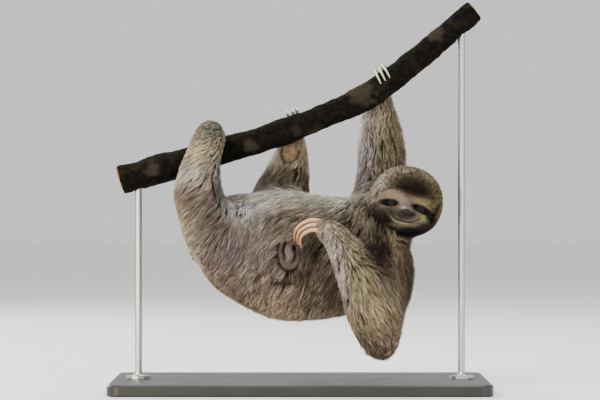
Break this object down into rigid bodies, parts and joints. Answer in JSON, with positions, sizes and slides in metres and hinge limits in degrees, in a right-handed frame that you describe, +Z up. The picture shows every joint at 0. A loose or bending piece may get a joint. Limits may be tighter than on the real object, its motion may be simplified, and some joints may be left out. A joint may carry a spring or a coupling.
{
  "type": "three-toed sloth",
  "caption": "Life-size still model of a small adult three-toed sloth hanging under a cut length of branch, face to the front, held by a plain stand with rods.",
  "frame": {"origin": "middle of the stand's underside, on the floor", "axes": "+Z up; +X towards the sloth's head end along the branch; -Y the side that its face and left flank look to"},
  "size_m": [0.524, 0.3, 0.5462],
  "materials": {
    "coat": "long coarse grey-brown hair with pale tips",
    "face": "short pale face hair with a dark mask, bare dark nose",
    "eye": "wet dark brown",
    "claw": "smooth horn",
    "bark": "damp dark bark with moss and lichen",
    "stand_base": "satin black lacquer",
    "stand_rod": "brushed"
  },
  "bodies": {
    "root": {"trunk": "coat", "neck": "coat", "tail": "coat", "arm_left_upper": "coat", "arm_left_forearm": "coat", "hand_left": "coat", "arm_right_upper": "coat", "arm_right_forearm": "coat", "hand_right": "coat", "leg_left_thigh": "coat", "leg_left_shank": "coat", "foot_left": "coat", "leg_right_thigh": "coat", "leg_right_shank": "coat", "foot_right": "coat", "head": "face", "eye_left": "eye", "eye_right": "eye", "claw_hand_left_1": "claw", "claw_hand_left_2": "claw", "claw_hand_left_3": "claw", "claw_hand_right_1": "claw", "claw_hand_right_2": "claw", "claw_hand_right_3": "claw", "claw_foot_left_1": "claw", "claw_foot_left_2": "claw", "claw_foot_left_3": "claw", "claw_foot_right_1": "claw", "claw_foot_right_2": "claw", "claw_foot_right_3": "claw", "branch": "bark", "stand_base": "stand_base", "stand_rod_left": "stand_rod", "stand_rod_right": "stand_rod"}
  },
  "joints": []
}
